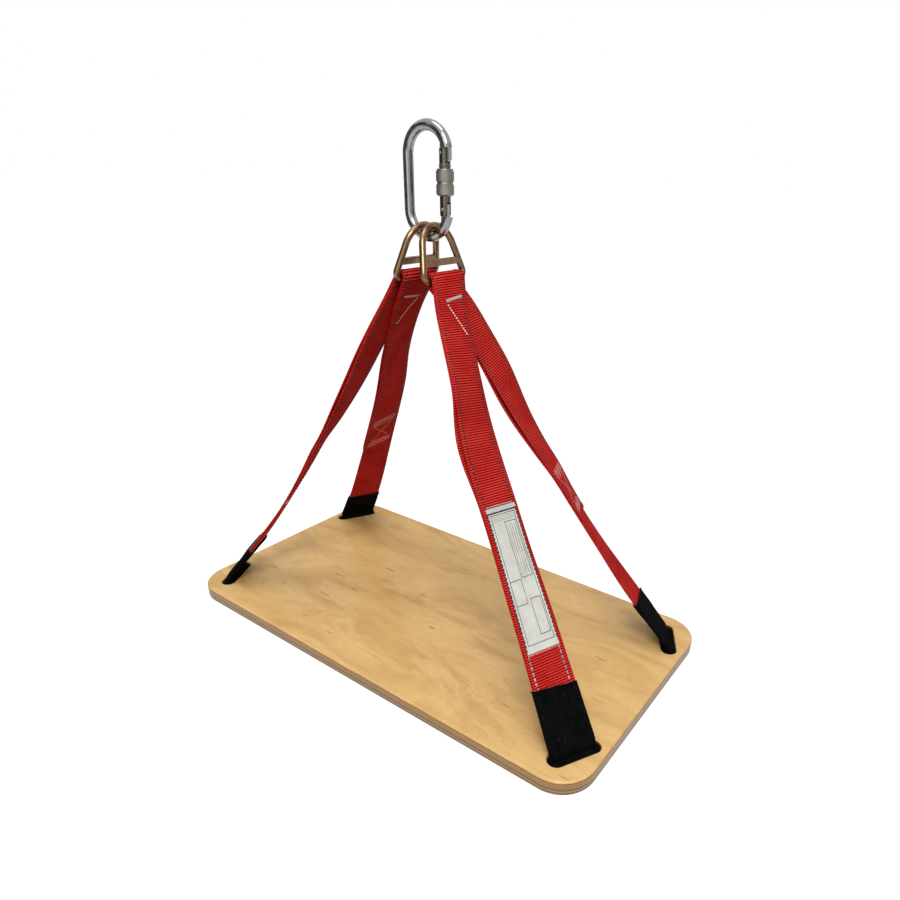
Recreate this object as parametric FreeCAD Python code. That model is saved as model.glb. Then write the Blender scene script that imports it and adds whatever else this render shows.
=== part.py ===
"""Bosun's chair: a plywood seat on webbing legs, hung by two forged rings from a screw lock carabiner.

Millimetres, +Z up. The origin is the hang point, inside the top of the carabiner, where an anchor bears.
X runs along the seat's long side, Y across it. The legs are named after the corners that they reach:
front (+X, -Y), right (+X, +Y), left (-X, -Y) and back (-X, +Y).
"""
import FreeCAD
import Part
import math
import os
from FreeCAD import Vector

# Seat board
BOARD_LENGTH = 600.0
BOARD_WIDTH = 320.0
BOARD_THICKNESS = 18.0
CORNER_RADIUS = 40.0
ARRIS_RADIUS = 3.0
SEAT_DROP = 545.0           # from the hang point down to the seat's top face

# Slots for the webbing, square to the board's diagonals
SLOT_X = 273.0
SLOT_Y = 114.0
SLOT_LENGTH = 60.0
SLOT_WIDTH = 18.0
SLOT_ARRIS = 2.0

# Webbing and its wear sleeves
WEBBING_WIDTH = 50.0
LAYER = 2.2                 # one thickness of webbing
SLEEVE_WIDTH = 53.0
SLEEVE_WALL = 1.35
SLEEVE_ROOM = 0.15          # between webbing and sleeve
SLEEVE_UNDER = 50.0         # how far a leg runs on under the board, past the slot's edge
LEG_END_BARE = 1.0          # and how much of that comes out of its sleeve
PASSAGE_INWARD = 1.5        # webbing in its slot, from the slot's middle line
ENTRY_HEIGHT = 6.0          # above the seat, where a leg straightens into its slot
UPPER_DROP = 2.0            # middle of the upper and the lower run below the board, where they cross
LOWER_DROP = 4.8
CROSSING_FROM = 0.3         # fraction of a run at which it has reached that depth

# Forged rings
RING_BAR = 7.0
RING_WIDTH = 72.5           # outside, where the sides would meet the bottom bar
RING_TOP_RADIUS = 24.0      # of the bar's axis, over the top
RING_FOOT_RADIUS = 6.5
RING_LEAN = 15.0            # degrees from upright
RING_BAR_X = 20.0           # bottom bar's axis, from the middle of the chair
RING_BAR_DROP = 134.0       # bottom bar's axis, below the hang point
RING_HEIGHT = 52.1          # from the bottom bar's axis to the top bar's axis
CROSSBAR_BOTTOM = 13.5      # above the bottom bar's axis
CROSSBAR_HEIGHT = 7.0
CROSSBAR_THICKNESS = 4.4
CROSSBAR_ROUNDING = 1.2
WRAP_ROOM = 0.1             # between the bottom bar and the webbing that turns on it

# Carabiner
CARABINER_LENGTH = 110.0
CARABINER_WIDTH = 61.0
BAR = 10.5
GATE_X = 22.0
GATE_DIAMETER = 10.8
GATE_TOP = -14.3
GATE_BOTTOM = -74.3
END_GAP = 0.5               # between the gate's ends and the body
TANG_THICKNESS = 4.6
TANG_ROOT = 4.0             # how far a tang reaches into the body
NOSE_TANG_INNER = 3.0       # from the latch pin's axis to the nose tang's inner side
NOSE_TANG_OUTER = 6.8       # from the gate's axis to its outer side
NOSE_TANG_LENGTH = 11.7
NOSE_TANG_CHAMFER = 1.6
HINGE_TANG_HALF = 4.0
HINGE_TANG_RISE = 4.5       # above the hinge axis
FORK_ROOM = 0.35            # beside a tang
FORK_DEPTH = 12.6
HINGE_FORK_RISE = 6.2       # above the hinge axis
GATE_CHAMFER = 0.8
HINGE_Z = -68.0
HINGE_PIN_RADIUS = 1.6
PIN_ROOM = 0.06
PIN_HEAD = 0.1              # how far a riveted pin stands out of the gate
PIN_HEAD_ROUNDING = 0.3
LATCH_Z = -18.5
LATCH_X = 20.8
LATCH_PIN_RADIUS = 1.3
LATCH_ROOM = 0.35

# Screw lock sleeve, shown unlocked
LOCK_DIAMETER = 17.6
LOCK_TOP = -32.2
LOCK_LENGTH = 24.0
LOCK_GROOVE_DIAMETER = 15.2
LOCK_GROOVE_WIDTH = 2.8
LOCK_GROOVE_SLOPE = 0.6
LOCK_CHAMFER = 1.6
LOCK_TOP_CHAMFER = 1.0
LOCK_COUNTERBORE_RADIUS = 7.5
LOCK_COUNTERBORE_DEPTH = 12.0
RUNNING_CLEARANCE = 0.07

# Gate spring and plunger
SPRING_BORE_TOP = -44.0
PLUNGER_RADIUS = 2.3
PLUNGER_BOTTOM = -63.2
PLUNGER_BODY = 5.5
PLUNGER_STEM = 3.0
PLUNGER_STEM_RADIUS = 1.3
SPRING_WALL = 0.7

# How a leg hangs, at fractions of its length: the webbing's turn from the ring's bar in degrees, how far it bows
# inwards, and how far the two legs of a ring spread apart, each by the fraction above it
LEG_KNOTS = (0.0, 0.12, 0.24, 0.36, 0.48, 0.6, 0.72, 0.84, 1.0)
SPREAD = {
    1: (0.0, 7.0, 11.0, 9.0, 4.5, 1.3, 0.0, 0.0, 0.0),
    -1: (0.0, 1.0, 2.0, 2.7, 1.1, 0.3, 0.0, 0.0, 0.0),
}
# Corners as signs of X and Y. An outer leg leaves the ring's bar on the side away from the middle, and shift is
# how far the webbing stands from the middle of its slot, along it.
LEGS = {
    "front": {
        "sx": 1, "sy": -1, "outer": True, "sleeve": 62.0, "shift": -1.5,
        "turn": (0.0, -6.0, -7.0, 2.7, 4.9, 6.0, 12.6, 17.6, 28.1),
        "bow": (0.0, 3.0, 6.0, 7.8, 10.3, 10.5, 8.4, 4.7, 0.0),
    },
    "right": {
        "sx": 1, "sy": 1, "outer": False, "sleeve": 63.0, "shift": -1.5,
        "turn": (0.0, 6.0, 8.5, 20.0, 26.6, 32.0, 31.5, 25.5, 28.1),
        "bow": (0.0, 3.0, 6.0, 8.2, 12.0, 12.8, 10.8, 8.2, 0.0),
    },
    "left": {
        "sx": -1, "sy": -1, "outer": True, "sleeve": 66.0, "shift": -1.5,
        "turn": (0.0, 7.7, 14.0, 20.6, 29.0, 33.7, 36.5, 30.0, 28.1),
        "bow": (0.0, -2.7, -2.7, 2.6, 11.6, 17.0, 17.6, 12.6, 0.0),
    },
    "back": {
        "sx": -1, "sy": 1, "outer": False, "sleeve": 59.0, "shift": 1.5,
        "turn": (0.0, -7.7, -9.0, -3.2, 0.6, 4.5, 11.0, 17.5, 28.1),
        "bow": (0.0, -2.7, -2.7, 0.0, 2.1, 2.6, 2.8, 3.2, 0.0),
    },
}
LEG_STEPS = 16              # stretches that a leg is made of, between its ring and its slot
SETTLE_STEPS = 1.0          # stretches over which the two legs of a ring close up below its bar
PAIR_GAP = 0.4              # from the middle of the pair to each leg
PAIR_END = 0.25             # fraction of the leg to which the pair lies face to face
FADE_FROM = 0.75            # fraction of the leg from which the offset for the pair fades out
LAP_AT = 0.615              # where the second layer of an inner leg ends
LABEL_SPAN = (0.494, 0.797)
LABEL_WIDTH = 40.0
LABEL_THICKNESS = 0.6

SEAT_TOP = -SEAT_DROP
SEAT_BOTTOM = SEAT_TOP - BOARD_THICKNESS
Y_AXIS = Vector(0, 1, 0)
Z_AXIS = Vector(0, 0, 1)


def export(name, shape):
    """Write one sub-part as STEP, and say its volume and whether it is valid."""
    os.makedirs("parts", exist_ok=True)
    shape.exportStep("parts/" + name + ".step")
    print(f"{name:26s} solids {len(shape.Solids)}  valid {shape.isValid()}  volume {shape.Volume:9.0f}")


def unit(vector):
    """The same direction with a length of one."""
    return Vector(vector).multiply(1.0 / vector.Length)


def hanging(values, at):
    """Value at a fraction of a leg, on a smooth curve through the values at its knots."""
    i = max(k for k in range(len(LEG_KNOTS) - 1) if LEG_KNOTS[k] <= at)
    slopes = []
    for k in (i, i + 1):
        a, b = max(k - 1, 0), min(k + 1, len(LEG_KNOTS) - 1)
        slopes.append((values[b] - values[a]) / (LEG_KNOTS[b] - LEG_KNOTS[a]))
    length = LEG_KNOTS[i + 1] - LEG_KNOTS[i]
    s = (at - LEG_KNOTS[i]) / length
    rise = s * s * (3.0 - 2.0 * s)
    bend = length * s * (1.0 - s) * ((1.0 - s) * slopes[0] - s * slopes[1])
    return values[i] * (1.0 - rise) + values[i + 1] * rise + bend


def cylinder(radius, start, end):
    """Round bar between two points."""
    axis = end - start
    return Part.makeCylinder(radius, axis.Length, start, axis)


def stadium(length, width, depth, centre, along):
    """Prism with round ends, standing on its centre, its long side along a horizontal direction."""
    half = (length - width) / 2.0
    side = Z_AXIS.cross(along) * (width / 2.0)
    start = centre - along * half
    end = centre + along * half
    edges = [
        Part.LineSegment(start - side, end - side),
        Part.Arc(end - side, end + along * (width / 2.0), end + side),
        Part.LineSegment(end + side, start + side),
        Part.Arc(start + side, start - along * (width / 2.0), start - side),
    ]
    wire = Part.Wire([edge.toShape() for edge in edges])
    return Part.Face(wire).extrude(Vector(0, 0, depth))


def prism_xz(points, y_low, y_high):
    """Prism of a polygon drawn in X and Z, between two values of Y."""
    corners = [Vector(x, y_low, z) for x, z in points]
    wire = Part.makePolygon(corners + corners[:1])
    return Part.Face(wire).extrude(Vector(0, y_high - y_low, 0))


# Seat board

def slot_axes(sx, sy):
    """Directions along a slot and from the slot towards the board's middle."""
    diagonal = unit(Vector(sx * BOARD_LENGTH, sy * BOARD_WIDTH, 0))
    along = Vector(-sx * sy * abs(diagonal.y), abs(diagonal.x), 0)
    return along, diagonal * -1.0


def seat_board():
    """Plywood board with round corners, four slots and softened edges."""
    board = Part.makeBox(BOARD_LENGTH, BOARD_WIDTH, BOARD_THICKNESS,
                         Vector(-BOARD_LENGTH / 2.0, -BOARD_WIDTH / 2.0, SEAT_BOTTOM))
    upright = [edge for edge in board.Edges if abs(edge.Vertexes[0].Z - edge.Vertexes[1].Z) > 1.0]
    board = board.makeFillet(CORNER_RADIUS, upright)
    board = board.makeFillet(ARRIS_RADIUS, level_edges(board))
    for leg in LEGS.values():
        along, _ = slot_axes(leg["sx"], leg["sy"])
        centre = Vector(leg["sx"] * SLOT_X, leg["sy"] * SLOT_Y, SEAT_BOTTOM - 1.0)
        board = board.cut(stadium(SLOT_LENGTH, SLOT_WIDTH, BOARD_THICKNESS + 2.0, centre, along))
    rims = [edge for edge in level_edges(board) if near_slot(edge)]
    return board.makeFillet(SLOT_ARRIS, rims)


def level_edges(board):
    """Edges that lie in the board's top or bottom face."""
    faces = (SEAT_TOP, SEAT_BOTTOM)
    return [edge for edge in board.Edges
            if any(all(abs(point.z - face) < 1e-4 for point in edge.discretize(3)) for face in faces)]


def near_slot(edge):
    """Whether an edge belongs to one of the slots."""
    middle = edge.discretize(3)[1]
    return math.hypot(abs(middle.x) - SLOT_X, abs(middle.y) - SLOT_Y) < SLOT_LENGTH / 2.0 + 1.0


# Webbing

def ring_bar_centre(sx):
    """Middle of a ring's bottom bar."""
    return Vector(sx * RING_BAR_X, 0, -RING_BAR_DROP)


def leg_direction(sx):
    """Direction in which a sling leaves its ring, in the plane of X and Z."""
    target = Vector(sx * SLOT_X, 0, SEAT_TOP)
    return unit(target - ring_bar_centre(sx))


def lower_faces(leg):
    """Heights of a leg's faces over its path below the lap, where an inner leg has one layer and not two."""
    return (-LAYER, LAYER if leg["outer"] else 0.0)


def frames(points, hints, outward):
    """Centre, width direction and face normal at each point of a strip."""
    result = []
    for i, point in enumerate(points):
        before = points[max(i - 1, 0)]
        after = points[min(i + 1, len(points) - 1)]
        tangent = unit(after - before)
        width = unit(hints[i] - tangent * hints[i].dot(tangent))
        normal = width.cross(tangent)
        if normal.dot(outward[i]) < 0:
            normal = normal * -1.0
        result.append((point, width, normal))
    return result


def leg_frames(name):
    """Frames down a leg, from the ring's bar through the slot to the end of the sleeve under the board."""
    leg = LEGS[name]
    sx, sy = leg["sx"], leg["sy"]
    along, inward = slot_axes(sx, sy)
    top = ring_bar_centre(sx)
    entry = Vector(sx * SLOT_X, sy * SLOT_Y, SEAT_TOP + ENTRY_HEIGHT)
    entry = entry + inward * PASSAGE_INWARD + along * leg["shift"]
    out = unit(Y_AXIS.cross(leg_direction(sx))) * -sx
    points, hints, outward = [], [], []
    for i in range(LEG_STEPS + 1):
        t = i / LEG_STEPS
        angle = math.radians(hanging(leg["turn"], t))
        width = Vector(-sx * sy * math.sin(angle), math.cos(angle), 0)
        line = top + (entry - top) * t + Vector(-sx * hanging(leg["bow"], t), sy * hanging(SPREAD[sx], t), 0)
        points.append(line + out * pair_offset(leg, i, line.y, width.dot(out)))
        hints.append(width)
        outward.append(out)
    turn = SLOT_WIDTH / 2.0 + SLOT_ARRIS - PASSAGE_INWARD
    centre = Vector(entry.x, entry.y, SEAT_BOTTOM + SLOT_ARRIS) + inward * turn
    for angle in (0.0, 22.5, 45.0, 67.5, 90.0):
        a = math.radians(angle)
        points.append(centre - inward * (turn * math.cos(a)) - Z_AXIS * (turn * math.sin(a)))
        hints.append(along)
        outward.append(inward * -math.cos(a) - Z_AXIS * math.sin(a))
    points.append(points[-1] + inward * SLEEVE_UNDER)
    hints.append(along)
    outward.append(Z_AXIS * -1.0)
    path = frames(points, hints, outward)
    path[0] = (points[0], Y_AXIS, out)
    return path


def pair_offset(leg, step, y, tilt):
    """How far a leg stands outwards of its line, so that the two legs of a ring lie face to face."""
    t = step / LEG_STEPS
    wrapped = RING_BAR / 2.0 + WRAP_ROOM + LAYER
    paired = LAYER + PAIR_GAP
    lift = wrapped + (paired - wrapped) * min(step / SETTLE_STEPS, 1.0)
    lift = lift if leg["outer"] else -lift
    together = min(max(2.0 - t / PAIR_END, 0.0), 1.0)
    return lift * min((1.0 - t) / (1.0 - FADE_FROM), 1.0) + y * tilt * together


def rectangle(frame, width, low, high):
    """Closed wire across a strip, between two heights over its middle surface."""
    centre, across, normal = frame
    half = across * (width / 2.0)
    corners = [
        centre - half + normal * low,
        centre + half + normal * low,
        centre + half + normal * high,
        centre - half + normal * high,
    ]
    return Part.makePolygon(corners + corners[:1])


def strip(strip_frames, width, low, high):
    """Solid strip of webbing through its frames."""
    wires = [rectangle(frame, width, low, high) for frame in strip_frames]
    return Part.makeLoft(wires, True, True)


def blended(frame_a, frame_b, share):
    """Frame part of the way from one frame to the next."""
    centre = frame_a[0] * (1.0 - share) + frame_b[0] * share
    across = unit(frame_a[1] * (1.0 - share) + frame_b[1] * share)
    normal = unit(frame_a[2] * (1.0 - share) + frame_b[2] * share)
    return (centre, across, normal)


def leg_part(name, start, end):
    """Frames of a leg between two fractions of its free length."""
    path = leg_frames(name)
    between = [i / LEG_STEPS for i in range(LEG_STEPS + 1) if start < i / LEG_STEPS < end]
    picked = []
    for t in [start] + between + [end]:
        i = min(int(t * LEG_STEPS), LEG_STEPS - 1)
        picked.append(blended(path[i], path[i + 1], t * LEG_STEPS - i))
    return picked


def webbing_leg(name):
    """One leg, from the ring's bar through its slot. Outer legs carry the turn over the bar."""
    leg = LEGS[name]
    path = leg_frames(name)
    if leg["outer"]:
        solid = strip(path, WEBBING_WIDTH, -LAYER, LAYER)
        return solid.fuse(bar_wrap(leg["sx"])).removeSplitter()
    double = strip(leg_part(name, 0.0, LAP_AT), WEBBING_WIDTH, -LAYER, LAYER)
    lap = leg_part(name, LAP_AT, 1.0)
    single = strip(lap[:-1] + path[LEG_STEPS:], WEBBING_WIDTH, *lower_faces(leg))
    return double.fuse(single).removeSplitter()


def bar_wrap(sx):
    """The half turn of webbing over a ring's bottom bar."""
    inner = RING_BAR / 2.0 + WRAP_ROOM
    outer = inner + 2.0 * LAYER
    centre = ring_bar_centre(sx) - Y_AXIS * (WEBBING_WIDTH / 2.0)
    down = leg_direction(sx)
    across = unit(Y_AXIS.cross(down))
    arcs = []
    for radius in (inner, outer):
        arcs.append(Part.Arc(centre + across * radius, centre - down * radius, centre - across * radius))
    edges = [
        arcs[0].toShape(),
        Part.LineSegment(centre - across * inner, centre - across * outer).toShape(),
        arcs[1].toShape(),
        Part.LineSegment(centre + across * outer, centre + across * inner).toShape(),
    ]
    wire = Part.Wire(Part.__sortEdges__(edges))
    return Part.Face(wire).extrude(Y_AXIS * WEBBING_WIDTH)


def wear_sleeve(name):
    """Flattened fabric tube round a leg, from above the slot to under the board."""
    leg = LEGS[name]
    low, high = lower_faces(leg)
    low, high = low - SLEEVE_ROOM, high + SLEEVE_ROOM
    path = leg_frames(name)
    start = 1.0 - leg["sleeve"] / (path[LEG_STEPS][0] - path[0][0]).Length
    run = leg_part(name, start, 1.0)[:-1] + path[LEG_STEPS:]
    _, inward = slot_axes(leg["sx"], leg["sy"])
    end = moved(run[-1], inward * -LEG_END_BARE)
    outer = strip(run[:-1] + [end], SLEEVE_WIDTH, low - SLEEVE_WALL, high + SLEEVE_WALL)
    above = leg_part(name, start - 0.01, start)[0]
    bore = strip([above] + run, WEBBING_WIDTH + 2.0 * SLEEVE_ROOM, low, high)
    return outer.cut(bore)


def moved(frame, shift):
    """The same frame at another place."""
    centre, across, normal = frame
    return (centre + shift, across, normal)


def under_run(first, second, middle_drop):
    """Webbing that crosses under the board from one slot to the opposite one."""
    ends = []
    for name in (first, second):
        end = leg_frames(name)[-1]
        ends.append(moved(end, end[2] * (sum(lower_faces(LEGS[name])) / 2.0)))
    level = ends[1][0] - ends[0][0]
    width = unit(Vector(abs(level.y) * math.copysign(1.0, ends[0][1].x), abs(level.x), 0))
    path = [ends[0]]
    for share in (CROSSING_FROM, 1.0 - CROSSING_FROM):
        point = ends[0][0] + level * share
        path.append((Vector(point.x, point.y, SEAT_BOTTOM - middle_drop), width, Z_AXIS * -1.0))
    path.append(ends[1])
    return strip(path, WEBBING_WIDTH, -LAYER / 2.0, LAYER / 2.0)


def identity_label():
    """Woven label sewn to the outer face of the front leg."""
    path = leg_part("front", LABEL_SPAN[0], LABEL_SPAN[1])
    return strip(path, LABEL_WIDTH, LAYER, LAYER + LABEL_THICKNESS)


# Rings

def ring_outline():
    """Where a side of the bar's axis starts, and where it meets the top arc, across and up."""
    half = (RING_WIDTH - RING_BAR) / 2.0
    centre_up = RING_HEIGHT - RING_TOP_RADIUS
    touch = math.acos(RING_TOP_RADIUS / math.hypot(half, centre_up)) - math.atan2(centre_up, half)
    tangent = (RING_TOP_RADIUS * math.cos(touch), centre_up + RING_TOP_RADIUS * math.sin(touch))
    return half, tangent


def dee_ring(sx):
    """Forged ring: a round bar bent to a dee, with a flat crossbar over the webbing's slot."""
    half, tangent = ring_outline()
    side = unit(Vector(tangent[0] - half, tangent[1], 0))
    trim = RING_FOOT_RADIUS * math.tan((math.pi / 2.0 - math.atan2(side.x, side.y)) / 2.0)
    foot_up = (half + side.x * trim, side.y * trim)
    foot_in = (half - trim, 0.0)
    bisector = unit(Vector(-1.0 + side.x, side.y, 0))
    foot_mid = Vector(foot_in[0], RING_FOOT_RADIUS, 0) - bisector * RING_FOOT_RADIUS

    def place(across, up):
        lean = math.radians(RING_LEAN)
        return ring_bar_centre(sx) + Vector(-sx * up * math.sin(lean), across, up * math.cos(lean))

    edges = [
        Part.LineSegment(place(-foot_in[0], 0), place(foot_in[0], 0)),
        Part.Arc(place(*foot_in), place(foot_mid.x, foot_mid.y), place(*foot_up)),
        Part.LineSegment(place(*foot_up), place(*tangent)),
        Part.Arc(place(*tangent), place(0, RING_HEIGHT), place(-tangent[0], tangent[1])),
        Part.LineSegment(place(-tangent[0], tangent[1]), place(-foot_up[0], foot_up[1])),
        Part.Arc(place(-foot_up[0], foot_up[1]), place(-foot_mid.x, foot_mid.y), place(-foot_in[0], 0)),
    ]
    wire = Part.Wire([edge.toShape() for edge in edges])
    profile = Part.Wire(Part.makeCircle(RING_BAR / 2.0, place(0, 0), Y_AXIS))
    ring = swept_bar(wire, profile)
    return ring.fuse(crossbar(place, half, tangent)).removeSplitter()


def swept_bar(wire, profile):
    """Round bar swept along a closed path of lines and arcs."""
    swept = wire.makePipeShell([profile], True, False)
    return swept if swept.ShapeType == "Solid" else Part.makeSolid(swept)


def crossbar(place, half, tangent):
    """Flat bar across the ring, from axis to axis of its sides."""
    def reach(up):
        return half + (tangent[0] - half) * up / tangent[1]

    low, high = CROSSBAR_BOTTOM, CROSSBAR_BOTTOM + CROSSBAR_HEIGHT
    ends = ((-reach(low), low), (reach(low), low), (reach(high), high), (-reach(high), high))
    corners = [place(across, up) for across, up in ends]
    normal = unit((corners[1] - corners[0]).cross(corners[3] - corners[0]))
    face = Part.Face(Part.makePolygon(corners + corners[:1]))
    plate = face.extrude(normal * CROSSBAR_THICKNESS)
    plate.translate(normal * (-CROSSBAR_THICKNESS / 2.0))
    long_edges = [edge for edge in plate.Edges if edge.Length > CROSSBAR_HEIGHT * 3.0]
    return plate.makeFillet(CROSSBAR_ROUNDING, long_edges)


# Carabiner

BOW_RADIUS = (CARABINER_WIDTH - BAR) / 2.0
TOP_BOW_Z = BAR - CARABINER_WIDTH / 2.0
BOTTOM_BOW_Z = BAR - CARABINER_LENGTH + CARABINER_WIDTH / 2.0


def bow(centre_z, start_angle, turn):
    """Bent stretch of round bar in the plane of X and Z. Angles go from +X towards +Z."""
    a = math.radians(start_angle)
    start = Vector(BOW_RADIUS * math.cos(a), 0, centre_z + BOW_RADIUS * math.sin(a))
    tangent = Vector(-math.sin(a), 0, math.cos(a))
    disc = Part.Face(Part.Wire(Part.makeCircle(BAR / 2.0, start, tangent)))
    return disc.revolve(Vector(0, 0, centre_z), Y_AXIS * -1.0, turn)


def carabiner_body():
    """Oval body: two bows and the spine, with a tang at the nose and one at the hinge."""
    spine = cylinder(BAR / 2.0, Vector(-BOW_RADIUS, 0, BOTTOM_BOW_Z), Vector(-BOW_RADIUS, 0, TOP_BOW_Z))
    body = spine.fuse([bow(TOP_BOW_Z, 0.0, 180.0), bow(BOTTOM_BOW_Z, 180.0, 180.0)])
    gap = Part.makeBox(2.0 * BAR, 2.0 * BAR, GATE_TOP - GATE_BOTTOM + 2.0 * END_GAP,
                       Vector(GATE_X - BAR, -BAR, GATE_BOTTOM - END_GAP))
    body = body.cut(gap)
    body = body.fuse([nose_tang(), hinge_tang()]).removeSplitter()
    return body


def nose_tang():
    """Flat tongue below the nose, with a notch on its inner side that takes the latch pin."""
    half = TANG_THICKNESS / 2.0
    inner, outer = LATCH_X - NOSE_TANG_INNER, GATE_X + NOSE_TANG_OUTER
    tip = GATE_TOP - NOSE_TANG_LENGTH
    outline = [
        (inner, GATE_TOP + TANG_ROOT),
        (outer, GATE_TOP + TANG_ROOT),
        (outer, tip + NOSE_TANG_CHAMFER),
        (outer - NOSE_TANG_CHAMFER, tip),
        (inner, tip),
    ]
    tang = prism_xz(outline, -half, half)
    room = LATCH_PIN_RADIUS + LATCH_ROOM
    notch = cylinder(room, Vector(LATCH_X, -BAR, LATCH_Z), Vector(LATCH_X, BAR, LATCH_Z))
    mouth = Part.makeBox(BAR, 2.0 * BAR, 2.0 * room, Vector(LATCH_X - BAR, -BAR, LATCH_Z - room))
    return tang.cut(notch.fuse(mouth))


def hinge_tang():
    """Flat tongue above the hinge end, with the bore for the hinge pin."""
    half = TANG_THICKNESS / 2.0
    left, right = GATE_X - HINGE_TANG_HALF, GATE_X + HINGE_TANG_HALF
    low, high = GATE_BOTTOM - TANG_ROOT, HINGE_Z + HINGE_TANG_RISE
    outline = [(left, low), (right, low), (right, high), (left, high)]
    tang = prism_xz(outline, -half, half)
    radius = HINGE_PIN_RADIUS + PIN_ROOM
    return tang.cut(cylinder(radius, Vector(GATE_X, -BAR, HINGE_Z), Vector(GATE_X, BAR, HINGE_Z)))


def carabiner_gate():
    """Gate bar, forked at both ends, with a bore for its spring and plunger."""
    radius = GATE_DIAMETER / 2.0
    gate = cylinder(radius, Vector(GATE_X, 0, GATE_BOTTOM), Vector(GATE_X, 0, GATE_TOP))
    top_rim = [edge for edge in gate.Edges if abs(edge.CenterOfMass.z - GATE_TOP) < 0.01]
    gate = gate.makeChamfer(GATE_CHAMFER, top_rim)
    slot = TANG_THICKNESS + 2.0 * FORK_ROOM
    corner = Vector(GATE_X - 2.0 * radius, -slot / 2.0, GATE_TOP - FORK_DEPTH)
    upper = Part.makeBox(4.0 * radius, slot, FORK_DEPTH, corner)
    fork_top = HINGE_Z + HINGE_FORK_RISE
    corner = Vector(GATE_X - 2.0 * radius, -slot / 2.0, GATE_BOTTOM)
    lower = Part.makeBox(4.0 * radius, slot, fork_top - GATE_BOTTOM, corner)
    bore = cylinder(PLUNGER_RADIUS + RUNNING_CLEARANCE, Vector(GATE_X, 0, fork_top - 1.0),
                    Vector(GATE_X, 0, SPRING_BORE_TOP))
    hinge_hole = cylinder(HINGE_PIN_RADIUS, Vector(GATE_X, -BAR, HINGE_Z), Vector(GATE_X, BAR, HINGE_Z))
    latch_hole = cylinder(LATCH_PIN_RADIUS, Vector(LATCH_X, -BAR, LATCH_Z), Vector(LATCH_X, BAR, LATCH_Z))
    rounding = cylinder(HINGE_Z - GATE_BOTTOM, Vector(GATE_X, -BAR, HINGE_Z), Vector(GATE_X, BAR, HINGE_Z))
    corner = Vector(GATE_X - 2.0 * BAR, -2.0 * BAR, HINGE_Z)
    above = Part.makeBox(4.0 * BAR, 4.0 * BAR, CARABINER_LENGTH, corner)
    gate = gate.common(rounding.fuse(above))
    return gate.cut([upper, lower, bore, hinge_hole, latch_hole])


def riveted_pin(x, z, radius):
    """Pin across the gate, with a low domed head at each side."""
    half = GATE_DIAMETER / 2.0 + PIN_HEAD
    pin = cylinder(radius, Vector(x, -half, z), Vector(x, half, z))
    rims = [edge for edge in pin.Edges if len(edge.Vertexes) == 1]
    return pin.makeFillet(PIN_HEAD_ROUNDING, rims)


def screw_sleeve():
    """Lock sleeve: two grip bands with a groove between them, bored to run on the gate."""
    radius = LOCK_DIAMETER / 2.0
    groove = LOCK_GROOVE_DIAMETER / 2.0
    bottom = LOCK_TOP - LOCK_LENGTH
    middle = (LOCK_TOP + bottom) / 2.0
    half = LOCK_GROOVE_WIDTH / 2.0
    outline = [
        (0, bottom),
        (radius - LOCK_CHAMFER, bottom),
        (radius, bottom + LOCK_CHAMFER),
        (radius, middle - half - LOCK_GROOVE_SLOPE),
        (groove, middle - half),
        (groove, middle + half),
        (radius, middle + half + LOCK_GROOVE_SLOPE),
        (radius, LOCK_TOP - LOCK_TOP_CHAMFER),
        (radius - LOCK_TOP_CHAMFER, LOCK_TOP),
        (0, LOCK_TOP),
    ]
    corners = [Vector(GATE_X + r, 0, z) for r, z in outline]
    face = Part.Face(Part.makePolygon(corners + corners[:1]))
    solid = face.revolve(Vector(GATE_X, 0, 0), Z_AXIS, 360.0)
    bore = cylinder(GATE_DIAMETER / 2.0 + RUNNING_CLEARANCE, Vector(GATE_X, 0, bottom - 1.0),
                    Vector(GATE_X, 0, LOCK_TOP + 1.0))
    counterbore = cylinder(LOCK_COUNTERBORE_RADIUS, Vector(GATE_X, 0, LOCK_TOP - LOCK_COUNTERBORE_DEPTH),
                           Vector(GATE_X, 0, LOCK_TOP + 1.0))
    return solid.cut([bore, counterbore])


def gate_plunger():
    """Pin that the spring presses against the hinge tang, with a stem inside the spring."""
    shoulder = PLUNGER_BOTTOM + PLUNGER_BODY
    body = cylinder(PLUNGER_RADIUS, Vector(GATE_X, 0, PLUNGER_BOTTOM), Vector(GATE_X, 0, shoulder))
    tip = shoulder + PLUNGER_STEM
    stem = cylinder(PLUNGER_STEM_RADIUS, Vector(GATE_X, 0, shoulder), Vector(GATE_X, 0, tip))
    return body.fuse(stem).removeSplitter()


def gate_spring():
    """Closed coil of the gate spring, as a tube between the plunger's shoulder and the end of its bore."""
    low = Vector(GATE_X, 0, PLUNGER_BOTTOM + PLUNGER_BODY)
    high = Vector(GATE_X, 0, SPRING_BORE_TOP)
    return cylinder(PLUNGER_RADIUS, low, high).cut(cylinder(PLUNGER_RADIUS - SPRING_WALL, low, high))


def main():
    """Build and export every sub-part."""
    export("seat_board", seat_board())
    for name in LEGS:
        export("webbing_leg_" + name, webbing_leg(name))
        export("wear_sleeve_" + name, wear_sleeve(name))
    export("webbing_under_front_back", under_run("front", "back", UPPER_DROP))
    export("webbing_under_left_right", under_run("left", "right", LOWER_DROP))
    export("identity_label", identity_label())
    export("dee_ring_right", dee_ring(1))
    export("dee_ring_left", dee_ring(-1))
    export("carabiner_body", carabiner_body())
    export("carabiner_gate", carabiner_gate())
    export("gate_hinge_pin", riveted_pin(GATE_X, HINGE_Z, HINGE_PIN_RADIUS))
    export("gate_latch_pin", riveted_pin(LATCH_X, LATCH_Z, LATCH_PIN_RADIUS))
    export("gate_plunger", gate_plunger())
    export("gate_spring", gate_spring())
    export("screw_sleeve", screw_sleeve())


main()
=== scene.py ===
"""Looks of the bosun's chair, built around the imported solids.

Lengths are in millimetres until a mesh is made.
"""
import math

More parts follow.
